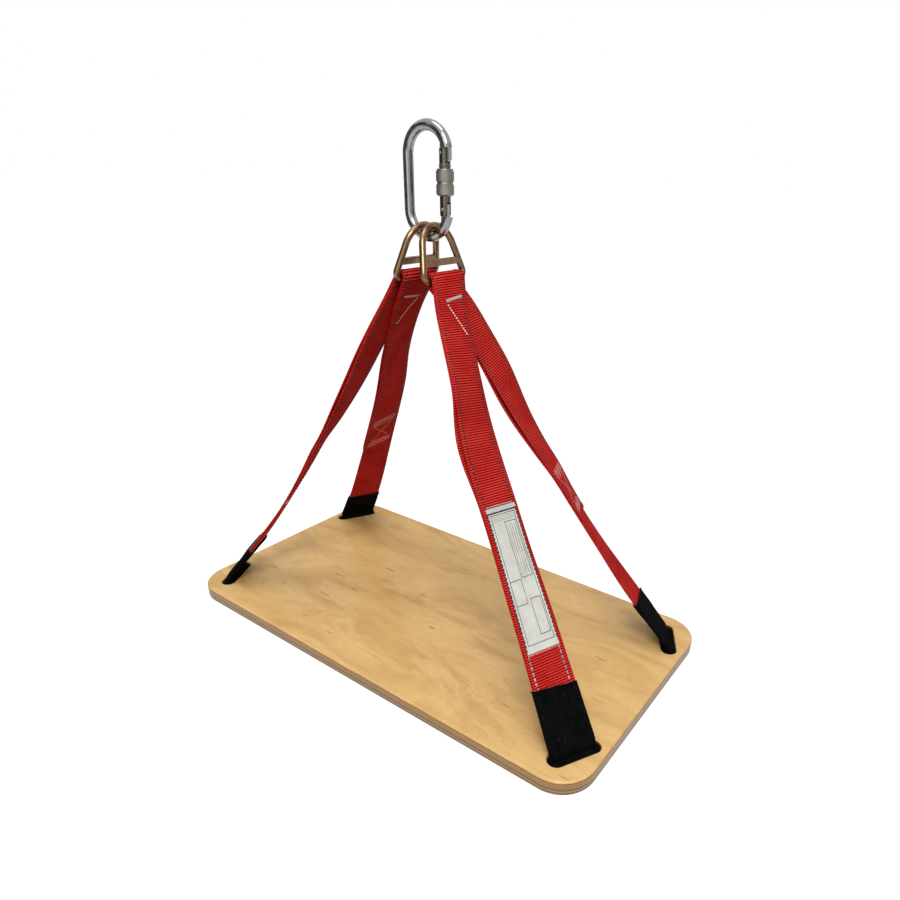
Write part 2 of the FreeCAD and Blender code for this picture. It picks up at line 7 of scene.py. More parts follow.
import bpy
import numpy as np
from mathutils import Euler, Matrix, Vector


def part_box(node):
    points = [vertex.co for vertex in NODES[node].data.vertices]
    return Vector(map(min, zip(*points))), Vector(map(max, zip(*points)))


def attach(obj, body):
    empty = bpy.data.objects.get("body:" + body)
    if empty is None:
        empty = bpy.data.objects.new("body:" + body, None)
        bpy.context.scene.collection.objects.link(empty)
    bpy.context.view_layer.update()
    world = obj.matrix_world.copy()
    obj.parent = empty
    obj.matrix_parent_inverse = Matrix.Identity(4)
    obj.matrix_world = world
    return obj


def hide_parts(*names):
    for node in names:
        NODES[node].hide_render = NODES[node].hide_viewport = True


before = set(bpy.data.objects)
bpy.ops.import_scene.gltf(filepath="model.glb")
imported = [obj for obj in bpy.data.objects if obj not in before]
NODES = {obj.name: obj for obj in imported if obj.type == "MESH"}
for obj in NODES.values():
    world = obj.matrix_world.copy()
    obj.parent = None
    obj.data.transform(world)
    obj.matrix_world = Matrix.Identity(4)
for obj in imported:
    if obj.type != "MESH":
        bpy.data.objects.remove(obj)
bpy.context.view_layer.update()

MM = 0.001
_, Y, Z = np.eye(3)
rng = np.random.default_rng(7)

# The same sizes as the solids
BOARD_LENGTH, BOARD_WIDTH, BOARD_THICKNESS = 600.0, 320.0, 18.0
SEAT_TOP = -545.0
SEAT_BOTTOM = SEAT_TOP - BOARD_THICKNESS
SLOT_X, SLOT_Y, SLOT_LENGTH, SLOT_WIDTH, SLOT_ARRIS = 273.0, 114.0, 60.0, 18.0, 2.0
WEBBING_WIDTH, LAYER = 50.0, 2.2
SLEEVE_WIDTH, SLEEVE_WALL, SLEEVE_ROOM = 53.0, 1.35, 0.15
SLEEVE_UNDER, LEG_END_BARE, SLEEVE_RIM_SLANT = 50.0, 1.0, 3.2
PASSAGE_INWARD, ENTRY_HEIGHT = 1.5, 6.0
UPPER_DROP, LOWER_DROP, CROSSING_FROM = 2.0, 4.8, 0.3
RING_BAR, RING_BAR_X, RING_BAR_DROP, WRAP_ROOM = 7.0, 20.0, 134.0, 0.1
LEG_STEPS = 16
PAIR_GAP, PAIR_END, FADE_FROM, LAP_AT = 0.4, 0.25, 0.75, 0.615
LABEL_SPAN, LABEL_WIDTH = (0.494, 0.797), 40.0
LEG_KNOTS = (0.0, 0.12, 0.24, 0.36, 0.48, 0.6, 0.72, 0.84, 1.0)
SPREAD = {
    1: (0.0, 7.0, 11.0, 9.0, 4.5, 1.3, 0.0, 0.0, 0.0),
    -1: (0.0, 1.0, 2.0, 2.7, 1.1, 0.3, 0.0, 0.0, 0.0),
}
LEGS = {
    "front": {
        "sx": 1, "sy": -1, "outer": True, "sleeve": 62.0, "shift": -1.5,
        "turn": (0.0, -6.0, -7.0, 2.7, 4.9, 6.0, 12.6, 17.6, 28.1),
        "bow": (0.0, 3.0, 6.0, 7.8, 10.3, 10.5, 8.4, 4.7, 0.0),
    },
    "right": {
        "sx": 1, "sy": 1, "outer": False, "sleeve": 63.0, "shift": -1.5,
        "turn": (0.0, 6.0, 8.5, 20.0, 26.6, 32.0, 31.5, 25.5, 28.1),
        "bow": (0.0, 3.0, 6.0, 8.2, 12.0, 12.8, 10.8, 8.2, 0.0),
    },
    "left": {
        "sx": -1, "sy": -1, "outer": True, "sleeve": 66.0, "shift": -1.5,
        "turn": (0.0, 7.7, 14.0, 20.6, 29.0, 33.7, 36.5, 30.0, 28.1),
        "bow": (0.0, -2.7, -2.7, 2.6, 11.6, 17.0, 17.6, 12.6, 0.0),
    },
    "back": {
        "sx": -1, "sy": 1, "outer": False, "sleeve": 59.0, "shift": 1.5,
        "turn": (0.0, -7.7, -9.0, -3.2, 0.6, 4.5, 11.0, 17.5, 28.1),
        "bow": (0.0, -2.7, -2.7, 0.0, 2.1, 2.6, 2.8, 3.2, 0.0),
    },
}

# How the webbing's paths are sampled, and smoothed over so many samples
LEG_POINTS, SHAFT_POINTS, ARC_POINTS, LEVEL_POINTS, RUN_POINTS = 401, 12, 30, 40, 601
PATH_STEP, SMOOTHING_CHANGE = 0.5, 30.0
CENTRE_SMOOTHING, WIDTH_SMOOTHING, RUN_SMOOTHING = (20.0, 4.0), (30.0, 8.0), 18.0

# Ribbed webbing: its weave, its two faces in a leg, and the step of the inner layer's end
RIB_PITCH, RIB_ROUNDNESS, RIB_DEPTH, RIB_SIDE_DEPTH, LEAN_END = 2.6, 0.7, 0.22, 0.4, 0.38
FACE_COLUMNS, EDGE_HEIGHT = (-0.965, -0.6, -0.2, 0.2, 0.6, 0.965), 0.45
FACE_NEAR, FACE_FAR, RUN_HALF = 0.12, 2.1, 1.0
LAP_SHIFT, LAP_SHIFT_REACH = 2.2, 22.0

# Stitches
STITCH_PITCH, STITCH_LENGTH, STITCH_WIDTH, STITCH_HEIGHT = 5.3, 3.7, 2.0, 0.55
ROW_PLACES, THREAD_SINK, THREAD_TAPER = (-20.2, 18.6), 0.15, 0.45
PATCH_REACH, PATCH_END = 64.0, 9.5

# Sleeves and label
MOUTH_REACH, SLEEVE_EASE, SLOT_ROOM = 16.0, 0.25, 0.6
SERRATION, SERRATION_PITCH = 0.55, 2.6
FRAYS, FRAY_WIDTH = 24, 0.35
LABEL_ASIDE = 0.7

# Lock sleeve and the gate's thread
LOCK_BORE, LOCK_RECESS, LOCK_DEPTH, BAND_FOOT = 5.47, 7.5, 12.0, 1.6
KNURLS, KNURL_RISE, KNURL_DEPTH = 36, 2.4, 0.22
GATE_X, THREAD_TOP = 22.0, -27.6


# Paths

def unit(v):
    """Vectors of length one along those given."""
    return v / np.linalg.norm(v, axis=-1, keepdims=True)


def smoothed(values, sigma):
    """Gaussian smoothing over samples, with the ends held."""
    reach = int(sigma * 3)
    kernel = np.exp(-0.5 * (np.arange(-reach, reach + 1) / sigma) ** 2)
    kernel /= kernel.sum()
    head = 2 * values[0] - values[reach:0:-1]
    tail = 2 * values[-1] - values[-2:-reach - 2:-1]
    padded = np.concatenate([head, values, tail])
    return np.stack([np.convolve(padded[:, k], kernel, "valid") for k in range(values.shape[1])], 1)


class Path:
    """Middle surface of a strip: centre, direction of the weft and face normal by distance."""

    def __init__(self, centre, width, normal):
        self.centre, self.width, self.normal = centre, width, normal
        steps = np.linalg.norm(np.diff(centre, axis=0), axis=1)
        self.s = np.concatenate([[0.0], np.cumsum(steps)])
        self.length = self.s[-1]

    def at(self, s):
        pick = [np.stack([np.interp(s, self.s, a[:, k]) for k in range(3)], -1)
                for a in (self.centre, self.width, self.normal)]
        return pick[0], unit(pick[1]), unit(pick[2])

    def surface(self, s, u, h):
        """Points at distance s, u across and h over the middle surface."""
        c, w, n = self.at(s)
        return c + w * np.asarray(u)[..., None] + n * np.asarray(h)[..., None]


def slot_axes(sx, sy):
    """Directions along a slot and inwards across it."""
    diagonal = unit(np.array([sx * BOARD_LENGTH, sy * BOARD_WIDTH, 0.0]))
    return np.array([-sx * sy * abs(diagonal[1]), abs(diagonal[0]), 0.0]), -diagonal


def bar_centre(sx):
    """Middle of a ring's bar."""
    return np.array([sx * RING_BAR_X, 0.0, -RING_BAR_DROP])


def sling_axes(sx):
    """Direction down a sling and outwards from it, in the plane of X and Z."""
    down = unit(np.array([sx * SLOT_X, 0.0, SEAT_TOP]) - bar_centre(sx))
    return down, np.cross(Y, down) * -sx


def hanging(values, at):
    """Values at fractions of a leg, on a smooth curve through those at its knots."""
    x, v = np.array(LEG_KNOTS), np.array(values)
    first, last = np.maximum(np.arange(len(x)) - 1, 0), np.minimum(np.arange(len(x)) + 1, len(x) - 1)
    slopes = (v[last] - v[first]) / (x[last] - x[first])
    i = np.clip(np.searchsorted(x, at, side="right") - 1, 0, len(x) - 2)
    length = x[i + 1] - x[i]
    s = (at - x[i]) / length
    rise = s * s * (3.0 - 2.0 * s)
    bend = length * s * (1.0 - s) * ((1.0 - s) * slopes[i] - s * slopes[i + 1])
    return v[i] * (1.0 - rise) + v[i + 1] * rise + bend


def through_slot(start, entry, inward):
    """Points from the slot's mouth down it, round its lower edge and inwards under the board."""
    turn = SLOT_WIDTH / 2.0 + SLOT_ARRIS - PASSAGE_INWARD
    centre = np.array([entry[0], entry[1], SEAT_BOTTOM + SLOT_ARRIS]) + inward * turn
    drop = np.linspace(0.0, 1.0, SHAFT_POINTS)[1:, None]
    shaft = start * (1 - drop) + (centre - inward * turn) * drop
    a = np.linspace(0.0, np.pi / 2, ARC_POINTS)[1:, None]
    arc = centre - inward * turn * np.cos(a) - Z * turn * np.sin(a)
    level = arc[-1] + inward * np.linspace(0.0, SLEEVE_UNDER, LEVEL_POINTS)[1:, None]
    return np.concatenate([shaft, arc, level])


def leg_path(name):
    """Path of a leg from its ring's bar, through the slot, to its end under the board."""
    leg = LEGS[name]
    sx, sy = leg["sx"], leg["sy"]
    along, inward = slot_axes(sx, sy)
    top = bar_centre(sx)
    _, out = sling_axes(sx)
    entry = np.array([sx * SLOT_X, sy * SLOT_Y, SEAT_TOP + ENTRY_HEIGHT])
    entry = entry + inward * PASSAGE_INWARD + along * leg["shift"]
    t = np.linspace(0.0, 1.0, LEG_POINTS)
    angle = np.radians(hanging(leg["turn"], t))
    width = np.stack([-sx * sy * np.sin(angle), np.cos(angle), 0.0 * t], 1)
    line = top + (entry - top) * t[:, None]
    line = line + np.outer(hanging(leg["bow"], t), [-sx, 0, 0]) + np.outer(hanging(SPREAD[sx], t), [0, sy, 0])
    wrapped, paired = RING_BAR / 2.0 + WRAP_ROOM + LAYER, LAYER + PAIR_GAP
    lift = wrapped + (paired - wrapped) * np.minimum(t * LEG_STEPS, 1.0)
    lift *= 1.0 if leg["outer"] else -1.0
    together = np.clip(2.0 - t / PAIR_END, 0.0, 1.0)
    offset = lift * np.minimum((1.0 - t) / (1.0 - FADE_FROM), 1.0)
    offset = offset + line[:, 1] * (width @ out) * together
    points = line + np.outer(offset, out)
    points = np.concatenate([points, through_slot(points[-1], entry, inward)])
    hints = np.concatenate([width, np.tile(along, (len(points) - len(width), 1))])
    rough = Path(points, hints, hints)
    s = np.arange(0.0, rough.length, PATH_STEP)
    free = rough.s[LEG_POINTS - 1]
    points, hints, _ = rough.at(s)
    near = np.clip((free - SMOOTHING_CHANGE - s) / SMOOTHING_CHANGE, 0.0, 1.0)[:, None]
    soft, firm = CENTRE_SMOOTHING
    points = smoothed(points, soft) * near + smoothed(points, firm) * (1.0 - near)
    soft, firm = WIDTH_SMOOTHING
    hints = smoothed(hints, soft) * near + smoothed(hints, firm) * (1.0 - near)
    tangent = unit(np.gradient(points, axis=0))
    lean = np.clip(1.0 - s / free / LEAN_END, 0.0, 1.0)[:, None]
    hints = unit(hints - tangent * (hints * tangent).sum(1, keepdims=True) * (1.0 - lean))
    normal = unit(np.cross(hints, tangent))
    if normal[0] @ out < 0:
        normal = -normal
    path = Path(points, hints, normal)
    path.free = free
    return path


def sling_path(outer, inner):
    """Path of a whole sling over its ring's bar. Its normal points out of the loop."""
    sx = LEGS[outer]["sx"]
    down, out = sling_axes(sx)
    a, b = leg_path(outer), leg_path(inner)
    phi = np.linspace(0.0, np.pi, 40)[1:-1, None]
    ray = out * np.cos(phi) - down * np.sin(phi)
    arc = bar_centre(sx) + ray * (RING_BAR / 2.0 + WRAP_ROOM + LAYER)
    path = Path(np.concatenate([a.centre[::-1], arc, b.centre]),
                np.concatenate([a.width[::-1], np.tile(Y, (len(arc), 1)), b.width]),
                np.concatenate([a.normal[::-1], ray, -b.normal]))
    path.outer_top, path.inner_top = a.length, path.length - b.length
    path.outer_free, path.inner_free = a.free, b.free
    return path


# Meshes

def make(name, points, faces, material, body="seat", uv=None, smooth=True):
    """Mesh object from points in millimetres, riding on a body."""
    mesh = bpy.data.meshes.new(name)
    mesh.from_pydata((np.asarray(points) * MM).tolist(), [], [tuple(int(i) for i in f) for f in faces])
    if uv is not None:
        layer = mesh.uv_layers.new(name="weave")
        index = np.zeros(len(mesh.loops), int)
        mesh.loops.foreach_get("vertex_index", index)
        layer.data.foreach_set("uv", (np.asarray(uv)[index] * MM).ravel())
    mesh.polygons.foreach_set("use_smooth", [smooth] * len(mesh.polygons))
    mesh.materials.append(material)
    obj = bpy.data.objects.new(name, mesh)
    bpy.context.scene.collection.objects.link(obj)
    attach(obj, body)
    return obj


def grid_faces(rows, columns, start=0):
    """Quads of a tube of rows rings with that many columns each."""
    i = np.arange(rows - 1)[:, None] * columns
    j = np.arange(columns)[None, :]
    k = (j + 1) % columns
    quads = np.stack([i + j, i + k, i + columns + k, i + columns + j], -1) + start
    return quads.reshape(-1, 4)


def capped(rows, columns, start=0):
    """Tube faces with a cap at each end."""
    faces = [tuple(f) for f in grid_faces(rows, columns, start)]
    faces.append(tuple(start + np.arange(columns)[::-1]))
    faces.append(tuple(start + (rows - 1) * columns + np.arange(columns)))
    return faces


def ribbed_strip(name, path, s0, s1, low, high, material, shift=None):
    """Strip of ribbed webbing between two distances. low and high give its faces by distance."""
    q = RIB_PITCH / 4.0
    s = np.arange(math.ceil(s0 / q), math.floor(s1 / q) + 1) * q
    hollow = 1.0 - np.abs(np.sin(np.pi * s / RIB_PITCH)) ** RIB_ROUNDNESS
    middle, thick = (low(s) + high(s)) / 2.0, (high(s) - low(s)) / 2.0 - RIB_DEPTH * hollow
    half = WEBBING_WIDTH / 2.0
    w = half - RIB_SIDE_DEPTH * hollow
    across = np.array(FACE_COLUMNS + (1.0, 1.0) + FACE_COLUMNS[::-1] + (-1.0, -1.0))
    flat, edge = np.ones(len(FACE_COLUMNS)), np.array([EDGE_HEIGHT, -EDGE_HEIGHT])
    over = np.concatenate([flat, edge, -flat, -edge])
    u = w[:, None] * across + (0.0 if shift is None else shift(s)[:, None])
    h = middle[:, None] + thick[:, None] * over
    ss = np.repeat(s[:, None], len(across), 1)
    points = path.surface(ss, u, h).reshape(-1, 3)
    uv = np.stack([half * across + 0 * u, ss], -1).reshape(-1, 2)
    return make(name, points, capped(len(s), len(across)), material, uv=uv)


def thread(points, width, height):
    """Closed stitch through (s, u) points: its vertices (s, u, h over the face), rows and columns."""
    p = np.asarray(points, float)
    tangent = unit(np.gradient(p, axis=0))
    side = np.stack([-tangent[:, 1], tangent[:, 0]], 1)
    taper = np.ones(len(p))
    taper[0] = taper[-1] = THREAD_TAPER
    ring = []
    for across, up in ((-0.5, 0.0), (-0.28, 0.8), (0.28, 0.8), (0.5, 0.0), (0.0, None)):
        xy = p + side * (across * width * taper)[:, None]
        foot = np.full(len(p), -THREAD_SINK)
        z = foot if up is None else up * height * taper - THREAD_SINK * (1.0 - taper)
        ring.append(np.column_stack([xy, z]))
    return np.stack(ring, 1).reshape(-1, 3), len(p), len(ring)


def sewn(name, path, threads, top, material, sign=1.0):
    """All the threads on one face of a strip as one mesh. top gives the face's height by distance."""
    points, faces, start = [], [], 0
    for vertices, rows, columns in threads:
        points.append(vertices)
        faces += capped(rows, columns, start)
        start += len(vertices)
    p = np.concatenate(points)
    h = top(p[:, 0]) + sign * p[:, 2]
    return make(name, path.surface(p[:, 0], p[:, 1], h), faces, material)


def dashes(s0, s1, u):
    """Row of stitches between two distances, at u(s) across."""
    result = []
    for k in range(int((s1 - s0) / STITCH_PITCH)):
        a = s0 + k * STITCH_PITCH + rng.uniform(-0.25, 0.25)
        s = a + np.linspace(0.0, STITCH_LENGTH, 4)
        lean = rng.uniform(-0.18, 0.18)
        line = np.column_stack([s, u(s) + np.linspace(-lean, lean, 4)])
        result.append(thread(line, STITCH_WIDTH, STITCH_HEIGHT))
    return result


def zigzag(a, b, width, pitch, thickness, height):
    """Dense zigzag of thread along the line from a to b, both (s, u)."""
    a, b = np.asarray(a, float), np.asarray(b, float)
    along = unit(b - a)
    side = np.array([-along[1], along[0]])
    count = int(np.linalg.norm(b - a) / pitch)
    points = []
    for k in range(count + 1):
        points.append(a + (b - a) * (k / count) + side * (width / 2.0 if k % 2 else -width / 2.0))
    return thread(points, thickness, height)


def running(a, b, pitch, length, width, height):
    """Row of stitches along the line from a to b, both (s, u)."""
    a, b = np.asarray(a, float), np.asarray(b, float)
    along = unit(b - a)
    total = np.linalg.norm(b - a)
    return [thread(a + along * (k * pitch + np.linspace(0, length, 4))[:, None], width, height)
            for k in range(int(total / pitch))]


# Materials

def linear(r, g, b):
    """Linear colour from one given as 0 to 255 for a screen."""
    values = [c / 255.0 for c in (r, g, b)]
    return tuple(c / 12.92 if c <= 0.04045 else ((c + 0.055) / 1.055) ** 2.4 for c in values) + (1.0,)


class Shader:
    """A material with a Principled shader, and short calls for the nodes that feed it."""

    def __init__(self, name, **values):
        self.material = bpy.data.materials.new(name)
        self.material.use_nodes = True
        self.tree = self.material.node_tree
        self.tree.nodes.clear()
        self.out = self.tree.nodes.new("ShaderNodeOutputMaterial")
        self.shader = self.tree.nodes.new("ShaderNodeBsdfPrincipled")
        self.tree.links.new(self.shader.outputs[0], self.out.inputs[0])
        for key, value in values.items():
            self.put(self.shader.inputs[key.replace("_", " ")], value)

    def put(self, socket, value):
        if isinstance(value, bpy.types.NodeSocket):
            self.tree.links.new(value, socket)
        else:
            socket.default_value = value

    def feed(self, name, value):
        self.put(self.shader.inputs[name], value)

    def coords(self, kind="Object", scale=(1, 1, 1)):
        source = self.tree.nodes.new("ShaderNodeTexCoord").outputs[kind]
        node = self.tree.nodes.new("ShaderNodeMapping")
        self.put(node.inputs["Vector"], source)
        node.inputs["Scale"].default_value = scale
        return node.outputs[0]

    def part(self, vector, axis):
        node = self.tree.nodes.new("ShaderNodeSeparateXYZ")
        self.put(node.inputs[0], vector)
        return node.outputs[axis]

    def noise(self, vector, scale, detail=3.0, rough=0.5, distortion=0.0):
        node = self.tree.nodes.new("ShaderNodeTexNoise")
        for key, value in (("Vector", vector), ("Scale", scale), ("Detail", detail), ("Roughness", rough),
                           ("Distortion", distortion)):
            self.put(node.inputs[key], value)
        return node.outputs[0]

    def maths(self, operation, a, b=0.0):
        node = self.tree.nodes.new("ShaderNodeMath")
        node.operation = operation
        for socket, value in zip(node.inputs, (a, b)):
            self.put(socket, value)
        return node.outputs[0]

    def span(self, value, low, high, to_low=0.0, to_high=1.0):
        node = self.tree.nodes.new("ShaderNodeMapRange")
        for key, v in (("Value", value), ("From Min", low), ("From Max", high), ("To Min", to_low),
                       ("To Max", to_high)):
            self.put(node.inputs[key], v)
        return node.outputs[0]

    def ramp(self, value, stops, mode="LINEAR"):
        node = self.tree.nodes.new("ShaderNodeValToRGB")
        node.color_ramp.interpolation = mode
        while len(node.color_ramp.elements) < len(stops):
            node.color_ramp.elements.new(0.5)
        for element, (place, colour) in zip(node.color_ramp.elements, stops):
            element.position, element.color = place, colour
        self.put(node.inputs[0], value)
        return node.outputs[0]

    def mix(self, share, a, b):
        node = self.tree.nodes.new("ShaderNodeMix")
        node.data_type = "RGBA"
        for i, value in ((0, share), (6, a), (7, b)):
            self.put(node.inputs[i], value)
        return node.outputs[2]

    def bump(self, height, strength, distance):
        node = self.tree.nodes.new("ShaderNodeBump")
        for key, value in (("Height", height), ("Strength", strength), ("Distance", distance)):
            self.put(node.inputs[key], value)
        self.feed("Normal", node.outputs[0])


def veneer(m):
    """Colour of the board's faces, with the two patterns that its bumps follow."""
    figure = m.noise(m.coords(scale=(1.0, 2.6, 1.0)), 7.0, 3.0, 0.5, 1.6)
    colour = m.ramp(figure, ((0.25, linear(180, 140, 85)), (0.45, linear(199, 160, 100)),
                             (0.6, linear(210, 172, 112)), (0.78, linear(193, 153, 93))))
    blotch = m.noise(m.coords(scale=(1.0, 1.7, 1.0)), 5.5, 3.0, 0.55, 1.0)
    colour = m.mix(m.span(blotch, 0.5, 0.72, 0.0, 0.5), colour, linear(176, 134, 79))
    vein = m.noise(m.coords(scale=(1.0, 3.4, 1.0)), 6.0, 4.0, 0.6, 2.2)
    line = m.maths("ABSOLUTE", m.maths("SUBTRACT", vein, 0.5))
    colour = m.mix(m.span(line, 0.0, 0.012, 0.3, 0.0), colour, linear(158, 116, 68))
    streak = m.noise(m.coords(scale=(6.0, 160.0, 1.0)), 4.0, 2.0, 0.6)
    colour = m.mix(m.span(streak, 0.55, 0.75, 0.0, 0.14), colour, linear(160, 118, 70))
    fleck = m.noise(m.coords(scale=(7.0, 48.0, 1.0)), 3.2, 1.0, 0.5)
    colour = m.mix(m.span(fleck, 0.755, 0.775, 0.0, 0.55), colour, linear(120, 84, 46))
    return colour, streak, figure


def plies(m, level):
    """Colour of the board's edges: plies between lines of glue, by level from 0 to 1."""
    pale, grey, gold = linear(196, 160, 108), linear(168, 136, 92), linear(172, 124, 62)
    dark, glue = linear(134, 98, 58), linear(82, 50, 22)
    colour = m.ramp(level, ((0.0, pale), (0.09, glue), (0.12, dark), (0.24, glue), (0.265, grey),
                            (0.37, glue), (0.395, dark), (0.50, glue), (0.525, grey), (0.63, glue),
                            (0.655, gold), (0.84, glue), (0.885, pale)), "CONSTANT")
    fibre = m.noise(m.coords(scale=(2.0, 2.0, 40.0)), 30.0, 3.0, 0.6)
    return m.mix(m.span(fibre, 0.4, 0.7, 0.0, 0.4), colour, linear(140, 106, 64))


def inside_slots(m, place):
    """One on the walls of the slots, where painted shade darkens them, and nought on the board's outer edge.
    """
    x, y = (m.maths("ABSOLUTE", m.part(place, axis)) for axis in (0, 1))
    reach = math.hypot(BOARD_LENGTH, BOARD_WIDTH)
    outward = m.maths("ADD", m.maths("MULTIPLY", x, BOARD_LENGTH / reach),
                      m.maths("MULTIPLY", y, BOARD_WIDTH / reach))
    far_wall = (SLOT_X * BOARD_LENGTH + SLOT_Y * BOARD_WIDTH) / reach + SLOT_WIDTH / 2.0 + 0.8
    before_corner = m.maths("LESS_THAN", outward, far_wall * MM)
    away_x = m.maths("LESS_THAN", x, (BOARD_LENGTH / 2.0 - 5.0) * MM)
    away_y = m.maths("LESS_THAN", y, (BOARD_WIDTH / 2.0 - 5.0) * MM)
    return m.maths("MULTIPLY", m.maths("MULTIPLY", away_x, away_y), before_corner)


def plywood():
    """Varnished board: veneer on its faces, plies on its edges, and painted shade inside the slots."""
    m = Shader("plywood_clear_coat", Roughness=0.45, Specular_IOR_Level=0.3, Coat_Weight=0.22,
               Coat_Roughness=0.16)
    place = m.coords()
    z = m.span(m.part(place, 2), SEAT_BOTTOM * MM, SEAT_TOP * MM)
    face, streak, figure = veneer(m)
    level = m.maths("ADD", z, m.span(m.noise(place, 60.0, 2.0), 0.3, 0.7, -0.014, 0.014))
    edge = plies(m, level)
    on_edge = m.maths("MULTIPLY", m.maths("GREATER_THAN", level, 0.075), m.maths("LESS_THAN", level, 0.915))
    # Painted shade: the slot walls are darkened towards near black brown, standing in for the shade inside
    # the slots.
    edge = m.mix(m.maths("MULTIPLY", inside_slots(m, place), 0.85), edge, linear(34, 24, 15))
    m.feed("Base Color", m.mix(on_edge, face, edge))
    m.bump(m.maths("ADD", streak, m.maths("MULTIPLY", figure, 0.6)), 0.1, 0.0005)
    return m.material


def webbing_red():
    """Red webbing, with painted shade in the grooves between its ribs and painted highlight flecks on the
    ribs.
    """
    m = Shader("webbing_red", Roughness=0.75, Specular_IOR_Level=0.02)
    weave = m.coords("UV")
    phase = m.maths("MULTIPLY", m.part(weave, 1), math.pi / (RIB_PITCH * MM))
    rib = m.maths("ABSOLUTE", m.maths("SINE", phase))
    cloud = m.noise(m.coords(), 26.0, 3.0, 0.6)
    bright = m.mix(m.span(cloud, 0.35, 0.7), linear(186, 34, 30), linear(208, 54, 47))
    fine = m.noise(m.coords("UV", (900.0, 260.0, 1.0)), 1.0, 2.0)
    # Painted highlight: paler red flecks on the ribs stand in for the sheen of light on them.
    bright = m.mix(m.span(fine, 0.45, 0.75, 0.0, 0.35), bright, linear(226, 74, 66))
    # Painted shade: the grooves between the ribs are darkened towards near black red.
    m.feed("Base Color", m.mix(m.span(rib, 0.3, 0.85), linear(84, 4, 8), bright))
    m.bump(fine, 0.35, 0.0004)
    return m.material


def sleeve_black():
    """Coarse black fabric with worn fibres and lint."""
    m = Shader("sleeve_black", Roughness=0.9, Specular_IOR_Level=0.02)
    weave = m.coords("UV", (700.0, 700.0, 1.0))
    across = m.maths("ABSOLUTE", m.maths("SINE", m.maths("MULTIPLY", m.part(weave, 0), math.pi)))
    down = m.maths("ABSOLUTE", m.maths("SINE", m.maths("MULTIPLY", m.part(weave, 1), math.pi)))
    cell = m.maths("MULTIPLY", across, down)
    cloud = m.noise(m.coords(), 40.0, 3.0, 0.6)
    dark = m.mix(m.span(cloud, 0.35, 0.7), linear(7, 8, 8), linear(17, 18, 18))
    dark = m.mix(m.span(cell, 0.2, 0.9, 0.6, 0.0), dark, linear(4, 4, 5))
    brushed = m.noise(m.coords("UV", (330.0, 60.0, 1.0)), 1.0, 3.0, 0.6)
    dark = m.mix(m.span(brushed, 0.6, 0.8, 0.0, 0.7), dark, linear(44, 48, 46))
    lint = m.noise(m.coords("UV", (260.0, 150.0, 1.0)), 1.0, 2.0)
    m.feed("Base Color", m.mix(m.span(lint, 0.775, 0.80), dark, linear(128, 142, 140)))
    m.bump(m.maths("ADD", cell, cloud), 0.5, 0.0005)
    return m.material


def cloth_plain(name, pale, shade, scale):
    """Woven tape or thread between two colours, each given as 0 to 255 for a screen."""
    m = Shader(name, Roughness=0.7, Specular_IOR_Level=0.2)
    cloud = m.noise(m.coords(), scale, 3.0, 0.6)
    m.feed("Base Color", m.mix(m.span(cloud, 0.35, 0.7), linear(*pale), linear(*shade)))
    m.bump(m.noise(m.coords(), scale * 8.0, 2.0), 0.3, 0.0003)
    return m.material


def row_thread():
    """Thread of the rows along the edges: dark grey green above, and paler towards the seat, where the paler
    colour is painted light.
    """
    m = Shader("row_thread", Roughness=0.6, Specular_IOR_Level=0.2)
    height = m.span(m.part(m.coords(), 2), -0.475, -0.435)
    cloud = m.noise(m.coords(), 90.0, 2.0)
    upper = m.mix(m.span(cloud, 0.35, 0.65), linear(24, 36, 29), linear(48, 60, 49))
    # Painted light: the pale colour lower down stands in for light falling on the thread there; the thread's
    # own colour is the dark grey green above.
    lower = m.mix(m.span(cloud, 0.35, 0.65), linear(124, 140, 138), linear(168, 182, 178))
    m.feed("Base Color", m.mix(height, lower, upper))
    m.bump(m.noise(m.coords(), 1400.0, 1.0), 0.4, 0.0002)
    return m.material


def metal(name, stops, rough, scale, wear=0.4):
    """Metal with clouded colour and roughness, and fine scratches. stops are (place, r, g, b)."""
    m = Shader(name, Metallic=1.0)
    cloud = m.noise(m.coords(), scale, 4.0, 0.6, 0.4)
    m.feed("Base Color", m.ramp(cloud, [(stop, linear(r, g, b)) for stop, r, g, b in stops]))
    fine = m.noise(m.coords(scale=(1.0, 1.0, 0.25)), 900.0, 2.0, 0.6)
    m.feed("Roughness", m.span(m.maths("ADD", cloud, m.maths("MULTIPLY", fine, wear)), 0.4, 1.0, *rough))
    m.bump(fine, 0.15, 0.0002)
    return m.material


RED, BLACK, ROW = webbing_red(), sleeve_black(), row_thread()
PALE = cloth_plain("pale_thread", (214, 196, 180), (236, 226, 214), 300.0)
PINK = cloth_plain("patch_thread", (206, 120, 112), (222, 160, 150), 300.0)
WHITE = cloth_plain("label_tape", (203, 202, 194), (186, 185, 178), 60.0)
GREY = cloth_plain("label_head", (172, 172, 170), (190, 190, 188), 60.0)
INK = cloth_plain("label_ink", (38, 38, 40), (62, 62, 64), 200.0)
FRAY = cloth_plain("fray_black", (14, 14, 15), (34, 34, 35), 200.0)
ZINC_STOPS = ((0.3, 108, 83, 62), (0.45, 134, 108, 78), (0.6, 118, 90, 74), (0.75, 152, 134, 102))
ZINC = metal("yellow_zinc", ZINC_STOPS, (0.18, 0.34), 55.0, wear=0.5)
CHROME = metal("bright_plate", ((0.3, 132, 132, 130), (0.7, 156, 156, 154)), (0.08, 0.18), 40.0)
GATE = metal("gate_plate", ((0.3, 90, 84, 74), (0.7, 112, 105, 94)), (0.16, 0.3), 60.0)
SATIN = metal("satin_plate", ((0.3, 124, 122, 114), (0.7, 146, 143, 134)), (0.3, 0.46), 60.0)
STEEL = metal("pin_steel", ((0.3, 190, 190, 190), (0.7, 214, 214, 214)), (0.14, 0.3), 90.0)


# Webbing

def swell(s, centre, reach, height):
    """Smooth hump of that height."""
    x = np.clip(np.abs(s - centre) / reach, 0.0, 1.0)
    return height * (0.5 + 0.5 * np.cos(np.pi * x))


